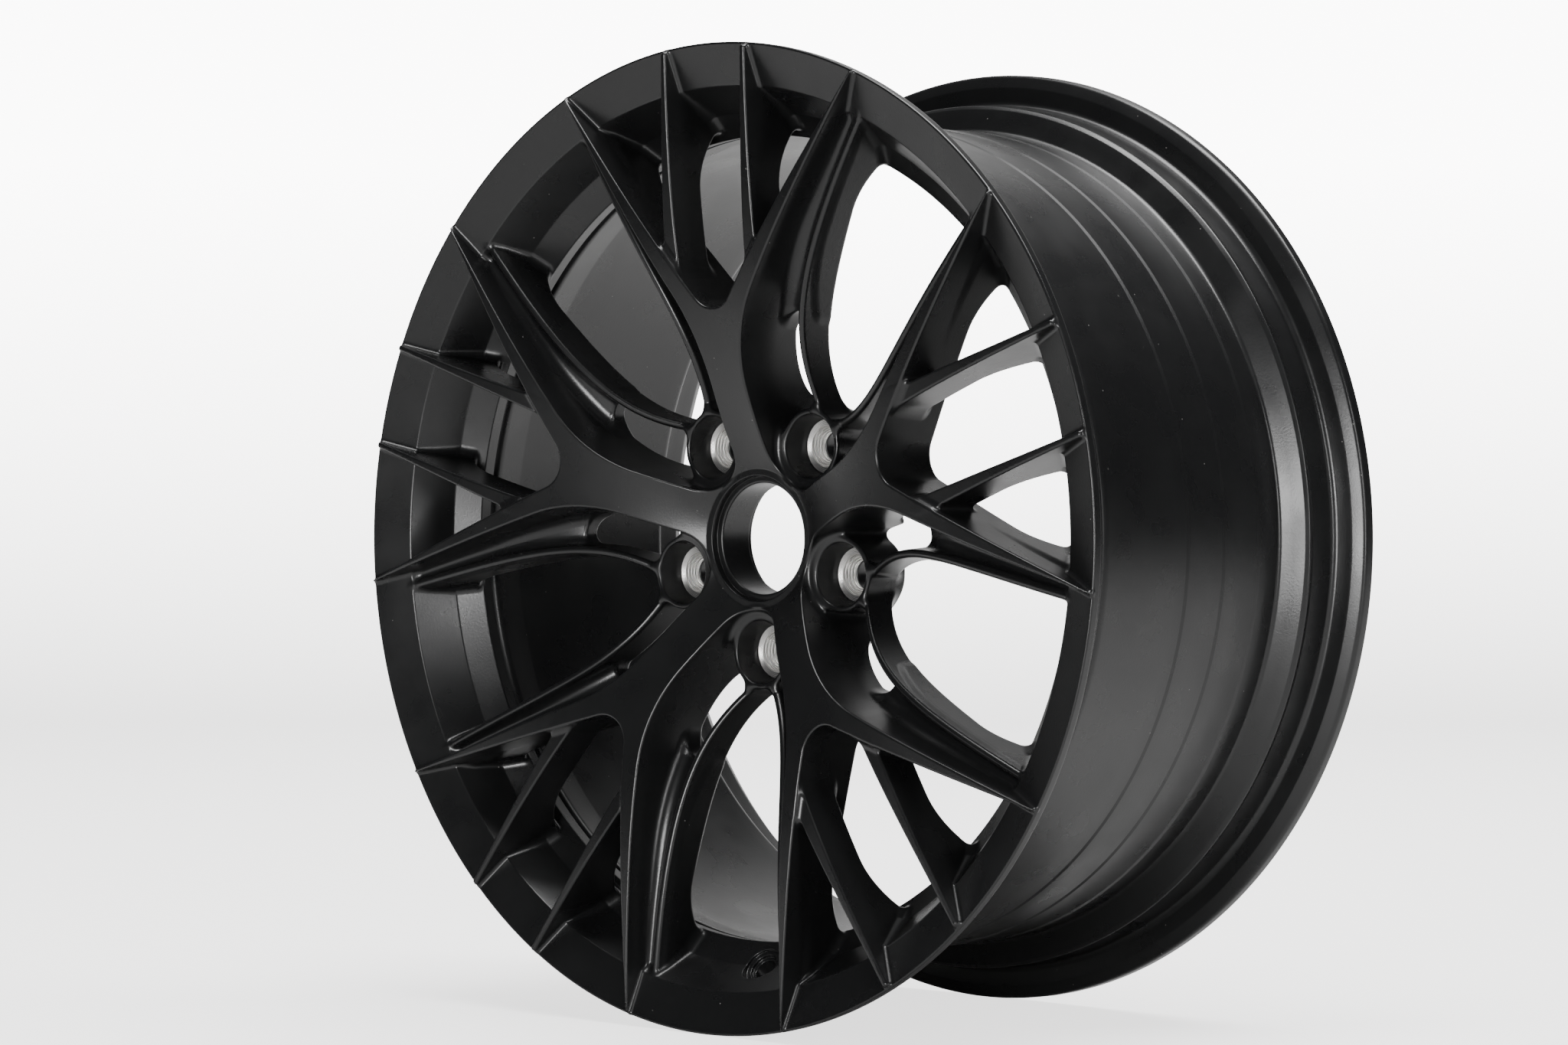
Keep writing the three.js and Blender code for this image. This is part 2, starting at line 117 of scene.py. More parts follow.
branch_drop = 4.0                         # a branch's root lies this far below the leg's face
branch_into_leg = 7.0
branch_half_tip, branch_half_more = 1.5, 2.75
branch_start, branch_end = 140.0, 245.0
split_radius = 115.0
flare_reach = 26.0
rib_half = 1.9
web_root = 119.0                          # radius where the valley floor starts beside the rib
web_reach = 13.0                          # how much nearer the hub it starts beside the leg
web_fade = 4.0
web_into_leg = 3.0
valley_drop, valley_dip, valley_run = 6.0, 5.0, 45.0
into_rim_by = 2.5                         # how far the spokes reach into the rim's metal
star_short, branch_short = 0.7, 1.5       # how far their tips stay inside the flange's edge
lip = dict(radius=225.0, depth=8.6, wall_radius=213.4, wall_depth=28.8, shoulder_radius=202.0,
           shoulder_depth=38.6)
bead_radius = 228.6
well_radius = bead_radius - 16.4
print(f"stem half width {stem_half:.2f} mm, well radius {well_radius:.1f} mm")

# %% [markdown]
# ## The camera first
# The wheel stands on its rim and is seen from its front left, a little from the side. A long
# lens keeps the circle of the flange close to a true ellipse. The camera is placed by where it
# stands and by the point it looks at.

# %% Camera
eye = Vector((1.4332, -1.6080, 0.0150))
gaze = Vector((-0.6775, 0.7355, -0.0033))
camera_data = bpy.data.cameras.new("camera")
camera_data.lens = 96.0
camera_data.sensor_width = 36.0
camera = bpy.data.objects.new("camera", camera_data)
camera.location = eye
camera.rotation_euler = gaze.to_track_quat("-Z", "Y").to_euler()
bpy.context.scene.collection.objects.link(camera)
bpy.context.scene.camera = camera
print("camera", [round(v, 3) for v in camera.location])

# %% [markdown]
# ## Rounded joins
# A forging has no sharp corners: its edges are broken and its feet run into each other. Where
# one shape is the place in which two measures are both below zero, the larger of the two
# measures it. A small quarter circle between them rounds the edge, and the same formula turned
# over makes a fillet between two shapes that are joined.

# %% Rounded both-of and either-of
def both(a, b, radius):
    """The larger of a and b, with a quarter circle of the radius where they cross near zero."""
    corner = np.hypot(np.maximum(a + radius, 0), np.maximum(b + radius, 0)) - radius
    return np.where(np.minimum(a, b) > -radius, corner, np.maximum(a, b))


def either(a, b, radius):
    """The smaller of a and b, with a fillet of the radius where they cross near zero."""
    return -both(-a, -b, radius)


def share(value, start, end):
    """How far a value is on its way from start to end, from 0 to 1."""
    return np.clip((value - start) / (end - start), 0.0, 1.0)


# %% Heights along the radius
def face_depth(r):
    """A spoke's face: the hub's depth times the cube of the way left to the rim, then level."""
    fall = (1 - share(r, face_start, face_end)) ** 3
    return (hub_depth + 1.0 + spoke_proud) * fall - spoke_proud


def rib_depth(r):
    """A rib's crest: it falls away from the boss in the same way, to the lip's inner edge."""
    fall = (1 - share(r, crest_start, crest_end)) ** 2.67
    return (boss_depth - crest_tip) * fall + crest_tip


def rim_flare(r):
    """How much deeper a back lies near the rim, where it curves down to the shoulder."""
    flare = share(r, lip["shoulder_radius"] - flare_reach, lip["shoulder_radius"] + 5.0) ** 2
    return (lip["shoulder_depth"] - tip_back) * flare


def back_depth(r):
    """A spoke's back: from the mounting pad it rises quickly, then slowly, out to the flare."""
    rise = share(r, pad_radius, lip["shoulder_radius"]) ** 0.5
    return mount_depth - (mount_depth - tip_back) * rise + rim_flare(r)


print("face at 35, 100 and 200 mm:", face_depth(np.array([35.0, 100.0, 200.0])).round(1))

# %% [markdown]
# ## Outlines of the star
# Half of one spoke, from its centre line to the middle of the pocket beside it, holds all that
# repeats: ten mirrored copies make the wheel. Seen from the front its outline is made of
# straight lines and arcs that run into each other, so the distance to it is exact.

# %% Distances to the spoke and its leg
def flank_distance(x, z):
    """Distance outside a spoke's flank: a straight stem, an arc that sweeps out, and the leg's
    straight side."""
    lean = math.hypot(1, leg_slope)
    centre_x = stem_half + sweep_radius
    around = np.arctan2(z - sweep_start, centre_x - x)
    end_x = centre_x - sweep_radius / lean
    end_z = sweep_start + sweep_radius * leg_slope / lean
    on_arc = sweep_radius - np.hypot(x - centre_x, z - sweep_start)
    on_leg = ((x - end_x) - leg_slope * (z - end_z)) / lean
    beyond = around > math.atan(leg_slope)
    return np.where(z < sweep_start, x - stem_half, np.where(beyond, on_leg, on_arc))


def window_distance(x, z):
    """Distance inside the window between two legs: a line along each leg's inner side, and a
    round crotch between them."""
    lean = math.hypot(1, inner_slope)
    rise = crotch_radius * (lean / inner_slope - 1)
    apex = crotch_z - rise
    centre = apex + crotch_radius * lean / inner_slope
    on_leg = ((z - apex) * inner_slope - np.abs(x)) / lean
    round_end = crotch_radius - np.hypot(x, z - centre)
    near = np.abs(x) < (centre - z) / inner_slope
    return np.where(near & (z < centre), round_end, on_leg)


# %% The rib's centre line
def bezier(points, count):
    """A cubic curve through the first and last of four points, pulled by the middle two."""
    t = np.linspace(0, 1, count)[:, None]
    a, b, c, d = (np.array(p) for p in points)
    return (1 - t) ** 3 * a + 3 * t * (1 - t) ** 2 * b + 3 * t ** 2 * (1 - t) * c + t ** 3 * d


rib_foot = np.array([9.3, bolt_radius + 19.9])
rib_tip = np.array([47.1, flange_radius])
rib_line = bezier([rib_foot, rib_foot + (27.8, 29.5), rib_tip - (11.0, 105.6), rib_tip], 48)


def beside(line, x, z):
    """Distance to an open line of points, and the same with a sign: plus on its right side."""
    best = np.full(x.shape, 1e9, np.float32)
    side = np.zeros(x.shape, np.float32)
    for (ax, az), (bx, bz) in zip(line[:-1], line[1:]):
        ux, uz = bx - ax, bz - az
        t = np.clip(((x - ax) * ux + (z - az) * uz) / (ux * ux + uz * uz), 0, 1)
        gap = np.hypot(x - ax - t * ux, z - az - t * uz)
        closer = gap < best
        best = np.where(closer, gap, best)
        side = np.where(closer, np.sign((x - ax) * uz - (z - az) * ux), side)
    return best, best * side


# %% [markdown]
# ## The rim's section
# Flange, bead seat, hump, well and lip are turned, so one closed outline of radius and depth
# makes them. Each corner of the outline carries its own small radius. The same helper serves
# the barrel further down, which is a plain turned surface.

# %% Outlines with rounded corners
def rounded(corners, steps=6):
    """A closed outline whose corners (radius, depth, fillet) are replaced by arcs: each arc is
    tangent to both sides and is stepped evenly in angle."""
    points = np.array([c[:2] for c in corners], float)
    radii = [c[2] for c in corners]
    out = []
    for i, radius in enumerate(radii):
        here = points[i]
        to_last = points[i - 1] - here
        to_next = points[(i + 1) % len(points)] - here
        len_last, len_next = np.hypot(*to_last), np.hypot(*to_next)
        to_last, to_next = to_last / len_last, to_next / len_next
        angle = math.acos(np.clip(np.dot(to_last, to_next), -1, 1))
        if radius <= 0 or angle > math.pi - 0.02:
            out.append(here)
            continue
        reach = min(radius / math.tan(angle / 2), 0.45 * len_last, 0.45 * len_next)
        radius = reach * math.tan(angle / 2)
        inward = (to_last + to_next) / np.hypot(*(to_last + to_next))
        middle = here + inward * radius / math.sin(angle / 2)
        first, last = here + to_last * reach - middle, here + to_next * reach - middle
        a0, a1 = math.atan2(first[1], first[0]), math.atan2(last[1], last[0])
        turn = (a1 - a0 + math.pi) % (2 * math.pi) - math.pi
        count = max(2, int(steps * abs(turn) / 0.8) + 1)
        for k in range(count + 1):
            a = a0 + turn * k / count
            out.append(middle + radius * np.array([math.cos(a), math.sin(a)]))
    return np.array(out)


def outline_distance(outline, r, d):
    """Distance to a closed outline, negative inside it: the nearest side, and a count of the
    sides that a line along the radius crosses."""
    best = np.full(r.shape, 1e9, np.float32)
    inside = np.zeros(r.shape, bool)
    for (ar, ad), (br, bd) in zip(outline, np.roll(outline, -1, 0)):
        ur, ud = br - ar, bd - ad
        t = np.clip(((r - ar) * ur + (d - ad) * ud) / (ur * ur + ud * ud + 1e-12), 0, 1)
        best = np.minimum(best, np.hypot(r - ar - t * ur, d - ad - t * ud))
        if ad != bd:
            spans = (ad > d) != (bd > d)
            inside ^= spans & (r < ar + (d - ad) * ur / ud)
    return np.where(inside, -best, best)


join_depth = 46.0
skin = 0.05
inside_at_join = lip["shoulder_radius"] + 5.0 * (join_depth + 4 - lip["shoulder_depth"]) / 31.0
front_rim = rounded([
    (lip["radius"], lip["depth"], 1.3),
    (flange_radius, 0.0, 0.9),
    (flange_radius, 6.0, 3.0),
    (flange_radius - 6.0, 10.0, 2.0),
    (bead_radius, 10.0, 3.5),
    (bead_radius - 1.6, 26.0, 2.0),
    (bead_radius - 0.5, 29.0, 1.5),
    (bead_radius - 2.6, 31.5, 2.0),
    (well_radius - skin, 45.0, 4.0),
    (well_radius - skin, join_depth + 4, 0.0),
    (inside_at_join + skin, join_depth + 4, 0.0),
    (lip["shoulder_radius"], lip["shoulder_depth"], 0.7),
    (lip["wall_radius"], lip["wall_depth"], 2.0),
])
print("front rim outline:", len(front_rim), "points")

# %% [markdown]
# ## One field for the whole forging
# The star, its thin branches, the ribs, the bosses and the rim were forged and milled from one
# block, so every join is a fillet. Separate surfaces would leave a crease at each of the joins,
# and a boolean would leave sharp ones. So here the metal is a field: a number at each point
# that is negative inside. Each feature is an outline seen from the front between a front and a
# back height, and the features are joined by the rounded either-of above. Side walls lean by
# a few degrees, as they must to leave the die.

# %% The field
draft = 0.075                             # how much a side leans out for each mm of depth
boss_lean = 0.02
edge = 1.1                                # radius of a broken edge
branch_foot = 4.0                         # fillet radii from here on
rim_foot_front, rim_foot_more = 2.2, 3.4
rib_foot_radius = 6.0
boss_foot = 7.0


def plan(x, z):
    """Everything about a point that doesn't depend on its depth, for the half sector between a
    spoke's centre line and the middle of the pocket beside it."""
    r = np.hypot(x, z)
    px = z * math.sin(half_sector) - x * math.cos(half_sector)
    pz = z * math.cos(half_sector) + x * math.sin(half_sector)
    bolt = np.hypot(px, pz - bolt_radius)
    flank = flank_distance(x, z)
    window = window_distance(x, z)
    pocket_z = bolt_radius * math.cos(half_sector)
    outside = np.where(z < pocket_z, pocket_radius - bolt, flank)
    star = np.maximum(outside, window)
    taper = (1 - share(z, branch_start, branch_end)) ** 1.5
    width = branch_half_tip + branch_half_more * taper
    branch = both(np.abs(x - branch_x) - width, -window - branch_into_leg, 1.0)
    rib, rib_side = beside(rib_line, px, pz)
    start = web_root - web_reach * np.exp(-np.maximum(flank, 0.0) / web_fade)
    web = both(both(-rib_side, start - r, 1.0), -flank - web_into_leg, 1.0)
    return dict(r=r, bolt=bolt, star=star, branch=branch, rib=rib - rib_half, web=web)


def prism(outline, front, back, d, slope=0.0, lean=draft, front_edge=edge):
    """The solid inside an outline between two depths, its sides leaning out with depth. The
    front's slope shortens the measured height, and every edge is rounded."""
    side = (outline - lean * (d - front)) / math.hypot(1, lean)
    top = (front - d) / np.hypot(1, slope)
    return both(both(side, top, front_edge), d - back, edge)


def slope_of(height, r, step=0.5):
    """How steeply a height falls along the radius."""
    return (height(r + step) - height(r - step)) / (2 * step)


def rim_side(d):
    """Radius of the rim's inner side at a depth: cone, wall, shoulder, then the barrel."""
    return np.interp(d, [0.0, lip["depth"], lip["wall_depth"], lip["shoulder_depth"]],
                     [flange_radius, lip["radius"], lip["wall_radius"], lip["shoulder_radius"]])


def forging(p, d, rim):
    """Distance into the forging, from the plan values, the depth and the rim's distance."""
    r = p["r"]
    into_rim = r - rim_side(d) - into_rim_by
    back = back_depth(r)
    face = face_depth(r)
    tilt = slope_of(face_depth, r)
    star = both(prism(p["star"], face, back, d, tilt), r - (flange_radius - star_short), edge)
    star = np.maximum(star, into_rim)
    drop = branch_drop * (1 - share(r, split_radius, flange_radius))
    thin_back = np.minimum(back, face + drop + branch_wall + rim_flare(r))
    branch = prism(p["branch"], face + drop, thin_back, d, tilt)
    branch = both(branch, r - (flange_radius - branch_short), edge)
    branch = np.maximum(branch, into_rim)
    crest = rib_depth(r)
    rib_tilt = slope_of(rib_depth, r)
    rib = np.maximum(prism(p["rib"], crest, back, d, rib_tilt, draft, rib_half), into_rim)
    rise = (1 - share(r, web_root, web_root + valley_run)) ** 2
    valley = crest + valley_drop + valley_dip * rise
    web = np.maximum(prism(p["web"], valley, back, d, rib_tilt), into_rim)
    boss = prism(p["bolt"] - boss_radius, boss_depth, mount_depth, d, 0.0, boss_lean, boss_rim_edge)
    body = either(either(star, boss, boss_foot), branch, branch_foot)
    body = either(body, either(rib, web, rib_foot_radius), rib_foot_radius)
    behind_lip = share(d, lip["depth"], lip["wall_depth"])
    body = either(body, rim, rim_foot_front + rim_foot_more * behind_lip)
    recess = np.maximum(r - recess_radius, d - (hub_depth + recess_depth))
    body = both(body, -recess, recess_edge)
    body = both(body, bore_radius - r, bore_edge)
    rear_bore = np.maximum(r - rear_bore_radius, (mount_depth - rear_bore_depth) - d)
    body = both(body, -rear_bore, rear_bore_edge)
    flare = counterbore_flare * (1 - share(d, boss_depth, seat_depth))
    well = np.maximum(p["bolt"] - counterbore_radius - flare, d - (seat_floor + well_clear))
    body = both(body, -well, well_edge)
    return both(body, bolt_hole_radius - p["bolt"], hole_edge)


# %% The valve hole
valve_angle = 273.3
valve_lean = math.radians(50.0)
valve_hole = (5.65, 0.0, 20.0)            # radius, centre along the axis and half length
valve_ring = (7.6, -9.2, 12.4)
valve_spot = (10.25, -9.25, 10.75)


def valve_cut(x, z, d, turn):
    """Distance inside the valve hole, its chamfer ring and its spot face: three cylinders on one
    axis, which leans back from the radius where the lip's wall meets the shoulder."""
    angle = math.radians(valve_angle) - turn
    along_r = x * math.cos(angle) + z * math.sin(angle) - lip["wall_radius"]
    across = -x * math.sin(angle) + z * math.cos(angle)
    down = d - lip["wall_depth"]
    along = along_r * math.cos(valve_lean) + down * math.sin(valve_lean)
    away = np.hypot(across, down * math.cos(valve_lean) - along_r * math.sin(valve_lean))
    cuts = [np.maximum(away - radius, np.abs(along - middle) - half)
            for radius, middle, half in (valve_hole, valve_ring, valve_spot)]
    return np.minimum(np.minimum(cuts[0], cuts[1]), cuts[2])


# %% [markdown]
# ## From a field to a mesh
# The field is read on a grid of angle, radius and depth. Where it changes sign inside a cell,
# the cell gets one point, at the mean of the places where its edges are crossed, and four cells
# around a crossed edge give one face. The grid runs half a cell past both mirror planes, so the
# outermost points fall exactly on the planes and the mirrored copies meet without a seam. The
# dense mesh is then thinned where it is flat, each point is put back on the surface, and the
# field's own slope gives the normals.

# %% Points and faces where the field changes sign
def surface_net(field):
    """One point per cell that the surface crosses, at the mean of its crossed edges, and one
    quad per crossed edge. Returns points in grid steps, quads and the points' cells."""
    inside = field < 0
    cells = tuple(n - 1 for n in field.shape)
    total = np.zeros((3, int(np.prod(cells))))
    count = np.zeros(int(np.prod(cells)))
    crossed = []
    for axis in range(3):
        ahead = [slice(None)] * 3
        behind = [slice(None)] * 3
        ahead[axis], behind[axis] = slice(1, None), slice(None, -1)
        at = np.array(np.nonzero(inside[tuple(ahead)] != inside[tuple(behind)]))
        nxt = at.copy()
        nxt[axis] += 1
        here, there = field[tuple(at)], field[tuple(nxt)]
        spot = at.astype(float)
        spot[axis] += here / (here - there)
        b, c = [k for k in range(3) if k != axis]
        around = []
        for db, dc in ((-1, -1), (0, -1), (0, 0), (-1, 0)):
            cell = at.copy()
            cell[b] += db
            cell[c] += dc
            held = np.ones(at.shape[1], bool)
            for k in (b, c):
                held &= (cell[k] >= 0) & (cell[k] < cells[k])
            flat = np.where(held, np.ravel_multi_index(np.where(held, cell, 0), cells), -1)
            around.append(flat)
            count += np.bincount(flat[held], minlength=count.size)
            for k in range(3):
                total[k] += np.bincount(flat[held], weights=spot[k][held], minlength=count.size)
        around = np.array(around)
        whole = (around >= 0).all(0)
        turned_over = (here < 0) ^ (axis == 1)
        quads = np.where(turned_over, around[::-1], around)[:, whole]
        crossed.append(quads.T)
    used = np.nonzero(count)[0]
    number = np.full(count.size, -1)
    number[used] = np.arange(used.size)
    points = (total[:, used] / count[used]).T
    return points, number[np.concatenate(crossed)], used


# %% The half sector's grid
cell = 0.78
angle_steps = int(half_sector * flange_radius / cell)
angle_step = half_sector / angle_steps
grid_angle = (np.arange(angle_steps + 2) - 0.5) * angle_step
grid_r = np.arange(25.0, flange_radius + 3, cell)
grid_d = np.arange(-4.3, mount_depth + 3, cell)


def read_field(points, valve_turn=None):
    """The field at loose points (x, depth, z) of a whole sector, with the valve hole when a
    turn is given. The rim's outline is only measured where the rim is near."""
    x, d, z = points.T
    p = plan(np.abs(x), z)
    near = p["r"] > lip["shoulder_radius"] - 12
    rim = np.full(len(points), 20.0)
    rim[near] = outline_distance(front_rim, p["r"][near], d[near])
    value = forging(p, d, rim)
    if valve_turn is not None:
        value = both(value, -valve_cut(x, z, d, valve_turn), 0.4)
    return value


def read_grid(valve_turn=None):
    """The field on the whole grid: plan values once per angle and radius, then every depth."""
    folded = np.clip(np.abs(grid_angle), 0, None)
    folded = half_sector - np.abs(half_sector - folded)
    angle, radius = np.meshgrid(folded, grid_r, indexing="ij")
    flat = plan(radius * np.sin(angle), radius * np.cos(angle))
    p = {name: value.astype(np.float32)[:, :, None] for name, value in flat.items()}
    section_r, section_d = np.meshgrid(grid_r, grid_d, indexing="ij")
    rim = outline_distance(front_rim, section_r, section_d)[None].astype(np.float32)
    value = forging(p, grid_d[None, None].astype(np.float32), rim)
    if valve_turn is not None:
        x = (radius * np.sin(angle))[:, :, None]
        z = (radius * np.cos(angle))[:, :, None]
        value = both(value, -valve_cut(x, z, grid_d[None, None], valve_turn), 0.4)
    return value


print("grid", len(grid_angle), len(grid_r), len(grid_d))


# %% Thin, put back and shade
def thinned(points, quads, faces_left):
    """The mesh with its edges collapsed, the flattest first, by Blender's Decimate."""
    mesh = bpy.data.meshes.new("dense")
    mesh.from_pydata(points.tolist(), [], quads.tolist())
    mesh.update()
    thing = bpy.data.objects.new("dense", mesh)
    bpy.context.scene.collection.objects.link(thing)
    collapse = thing.modifiers.new("thin", "DECIMATE")
    collapse.ratio = min(1.0, faces_left / (2.0 * len(quads)))
    bpy.context.view_layer.update()
    done = thing.evaluated_get(bpy.context.evaluated_depsgraph_get()).to_mesh()
    done.calc_loop_triangles()
    out = np.zeros(len(done.vertices) * 3)
    done.vertices.foreach_get("co", out)
    triangles = np.zeros(len(done.loop_triangles) * 3, int)
    done.loop_triangles.foreach_get("vertices", triangles)
    bpy.data.objects.remove(thing)
    return out.reshape(-1, 3), triangles.reshape(-1, 3)


def slope_at(points, valve_turn, central, step=0.06):
    """Value and slope of the field at points (x, depth, z), by differences along each axis: one
    step ahead, or one ahead and one behind for the finer central difference."""
    value = read_field(points, valve_turn)
    slope = np.empty_like(points)
    for axis in range(3):
        move = np.zeros(3)
        move[axis] = step
        behind = read_field(points - move, valve_turn) if central else value
        slope[:, axis] = (read_field(points + move, valve_turn) - behind) / (step * (1 + central))
    return value, slope


plane_normals = np.array([[s * math.cos(half_sector), 0.0, -math.sin(half_sector)] for s in (1, -1)])


def end_points(points, faces):
    """The points on the open edge, told apart by the end plane that they lie on."""
    edges = np.sort(faces[:, [0, 1, 1, 2, 2, 0]].reshape(-1, 2), 1)
    ids, times = np.unique(edges[:, 0] * len(points) + edges[:, 1], return_counts=True)
    open_ids = ids[times == 1]
    rim_ids = np.unique(np.concatenate([open_ids // len(points), open_ids % len(points)]))
    return [rim_ids[points[rim_ids, 0] > 0], rim_ids[points[rim_ids, 0] <= 0]]


def settle(vectors, ends):
    """Takes what leads out of an end plane away from the points that lie on it."""
    for ids, normal in zip(ends, plane_normals):
        vectors[ids] -= (vectors[ids] @ normal)[:, None] * normal
    return vectors


def sector_mesh(valve_turn=None, faces_left=188000):
    """Points (x, depth, z), triangles, normals and the points that lie on the two end planes of
    one sector: a half and its mirror image, joined on the spoke's centre plane."""
    layer = (len(grid_r) - 1) * (len(grid_d) - 1)
    sides = []
    for turn, flip in ((valve_turn, 1.0), (None, -1.0)):
        steps, quads, cell_ids = surface_net(read_grid(turn))
        angle = (steps[:, 0] - 0.5) * angle_step
        radius = grid_r[0] + steps[:, 1] * cell
        depth = grid_d[0] + steps[:, 2] * cell
        points = np.stack([flip * radius * np.sin(angle), depth, radius * np.cos(angle)], 1)
        sides.append((points, quads if flip > 0 else quads[:, ::-1], int((cell_ids < layer).sum())))
    (right, quads, shared), (left, quads_left, _) = sides
    quads_left = np.where(quads_left < shared, quads_left, quads_left + len(right) - shared)
    raw = np.concatenate([quads, quads_left])
    points, faces = thinned(np.concatenate([right, left[shared:]]), raw, faces_left)

    ends = end_points(points, faces)
    for last in (False, True):
        value, slope = slope_at(points, valve_turn, last)
        size = np.maximum((slope ** 2).sum(1), 0.2)
        move = np.clip(-value / size, -0.4, 0.4)[:, None] * slope
        points = settle(points + move, ends)
    normals = settle(slope, ends)
    normals /= np.maximum(np.linalg.norm(normals, axis=1, keepdims=True), 1e-6)
    a, b, c = (points[faces[:, k]] for k in range(3))
    if (np.cross(b - a, c - a) * normals[faces[:, 0]]).sum() < 0:
        faces = faces[:, ::-1]
    print(f"sector: {len(raw)} quads, {len(faces)} triangles, off by {np.abs(value).mean():.4f} mm")
    return points, faces, normals, ends


# %% [markdown]
# ## Materials
# The coat is a satin black powder coat. Its film isn't quite level: a fine orange peel breaks
# up every highlight, and a second, slower wave lets long reflections wander. It is a little
# thinner and glossier in places, and the odd grain of pale dust lies on it. Both finishes share
# one node group that puts out a height and a slow mask, each material with its own scale.

# %% The shared surface group
def surface_group():
    """Fine and slow noise on the object's own coordinates, as a height and a mask."""
    group = bpy.data.node_groups.new("surface_film", "ShaderNodeTree")
    for name, kind in (("Vector", "NodeSocketVector"), ("Fine Scale", "NodeSocketFloat"),
                       ("Slow Scale", "NodeSocketFloat"), ("Slow Share", "NodeSocketFloat")):
        group.interface.new_socket(name, in_out="INPUT", socket_type=kind)
    for name in ("Height", "Mask", "Speck"):
        group.interface.new_socket(name, in_out="OUTPUT", socket_type="NodeSocketFloat")
    nodes, links = group.nodes, group.links
    given, made = nodes.new("NodeGroupInput"), nodes.new("NodeGroupOutput")
    fine, slow = nodes.new("ShaderNodeTexNoise"), nodes.new("ShaderNodeTexNoise")
    fine.inputs["Detail"].default_value = 2.0
    slow.inputs["Detail"].default_value = 3.0
    mix = nodes.new("ShaderNodeMix")
    specks = nodes.new("ShaderNodeTexVoronoi")
    specks.inputs["Scale"].default_value = 210.0
    small = nodes.new("ShaderNodeMapRange")
    small.inputs["From Min"].default_value = 0.075
    small.inputs["From Max"].default_value = 0.05
    few = nodes.new("ShaderNodeMapRange")
    few.inputs["From Min"].default_value = 0.93
    few.inputs["From Max"].default_value = 0.96
    split = nodes.new("ShaderNodeSeparateColor")
    speck = nodes.new("ShaderNodeMath")
    speck.operation = "MULTIPLY"
    for noise, scale in ((fine, "Fine Scale"), (slow, "Slow Scale")):
        links.new(given.outputs["Vector"], noise.inputs["Vector"])
        links.new(given.outputs[scale], noise.inputs["Scale"])
    links.new(given.outputs["Vector"], specks.inputs["Vector"])
    links.new(given.outputs["Slow Share"], mix.inputs["Factor"])
    links.new(fine.outputs["Fac"], mix.inputs["A"])
    links.new(slow.outputs["Fac"], mix.inputs["B"])
    links.new(specks.outputs["Distance"], small.inputs["Value"])
    links.new(specks.outputs["Color"], split.inputs["Color"])
    links.new(split.outputs["Red"], few.inputs["Value"])
    links.new(small.outputs["Result"], speck.inputs[0])
    links.new(few.outputs["Result"], speck.inputs[1])
    links.new(mix.outputs["Result"], made.inputs["Height"])
    links.new(slow.outputs["Fac"], made.inputs["Mask"])
    links.new(speck.outputs["Value"], made.inputs["Speck"])
    return group


film = surface_group()
print("shared group:", film.name)


# %% Small helpers for materials
def new_material(name):
    """A material with an empty tree, its shader and its output."""
    material = bpy.data.materials.new(name)
    material.use_nodes = True
    nodes, links = material.node_tree.nodes, material.node_tree.links
    shader = nodes["Principled BSDF"]
    return material, nodes, links, shader


def spread(nodes, links, source, low_value, high_value, start=0.0, end=1.0):
    """Maps a mask onto a range of values and gives the socket."""
    span = nodes.new("ShaderNodeMapRange")
    span.inputs["From Min"].default_value = start
    span.inputs["From Max"].default_value = end
    span.inputs["To Min"].default_value = low_value
    span.inputs["To Max"].default_value = high_value
    links.new(source, span.inputs["Value"])
    return span.outputs["Result"]


# %% Satin black powder coat
def powder_coat():
    """Black coat: orange peel in the bump, a wandering roughness and a few grains of dust."""
    material, nodes, links, shader = new_material("satin_black_coat")
    place = nodes.new("ShaderNodeTexCoord")
    skin_group = nodes.new("ShaderNodeGroup")
    skin_group.node_tree = film
    skin_group.inputs["Fine Scale"].default_value = 900.0
    skin_group.inputs["Slow Scale"].default_value = 38.0
    skin_group.inputs["Slow Share"].default_value = 0.25
    links.new(place.outputs["Object"], skin_group.inputs["Vector"])
    colour = nodes.new("ShaderNodeMix")
    colour.data_type = "RGBA"
    colour.inputs["A"].default_value = (0.0055, 0.0056, 0.0058, 1)
    colour.inputs["B"].default_value = (0.16, 0.155, 0.15, 1)
    links.new(skin_group.outputs["Speck"], colour.inputs["Factor"])
    links.new(colour.outputs["Result"], shader.inputs["Base Color"])
    gloss = spread(nodes, links, skin_group.outputs["Mask"], 0.25, 0.33, 0.3, 0.7)
    links.new(gloss, shader.inputs["Roughness"])
    bump = nodes.new("ShaderNodeBump")
    bump.inputs["Strength"].default_value = 0.10
    bump.inputs["Distance"].default_value = 0.0004
    links.new(skin_group.outputs["Height"], bump.inputs["Height"])
    links.new(bump.outputs["Normal"], shader.inputs["Normal"])
    shader.inputs["Specular IOR Level"].default_value = 0.42
    shader.inputs["IOR"].default_value = 1.5
    return material


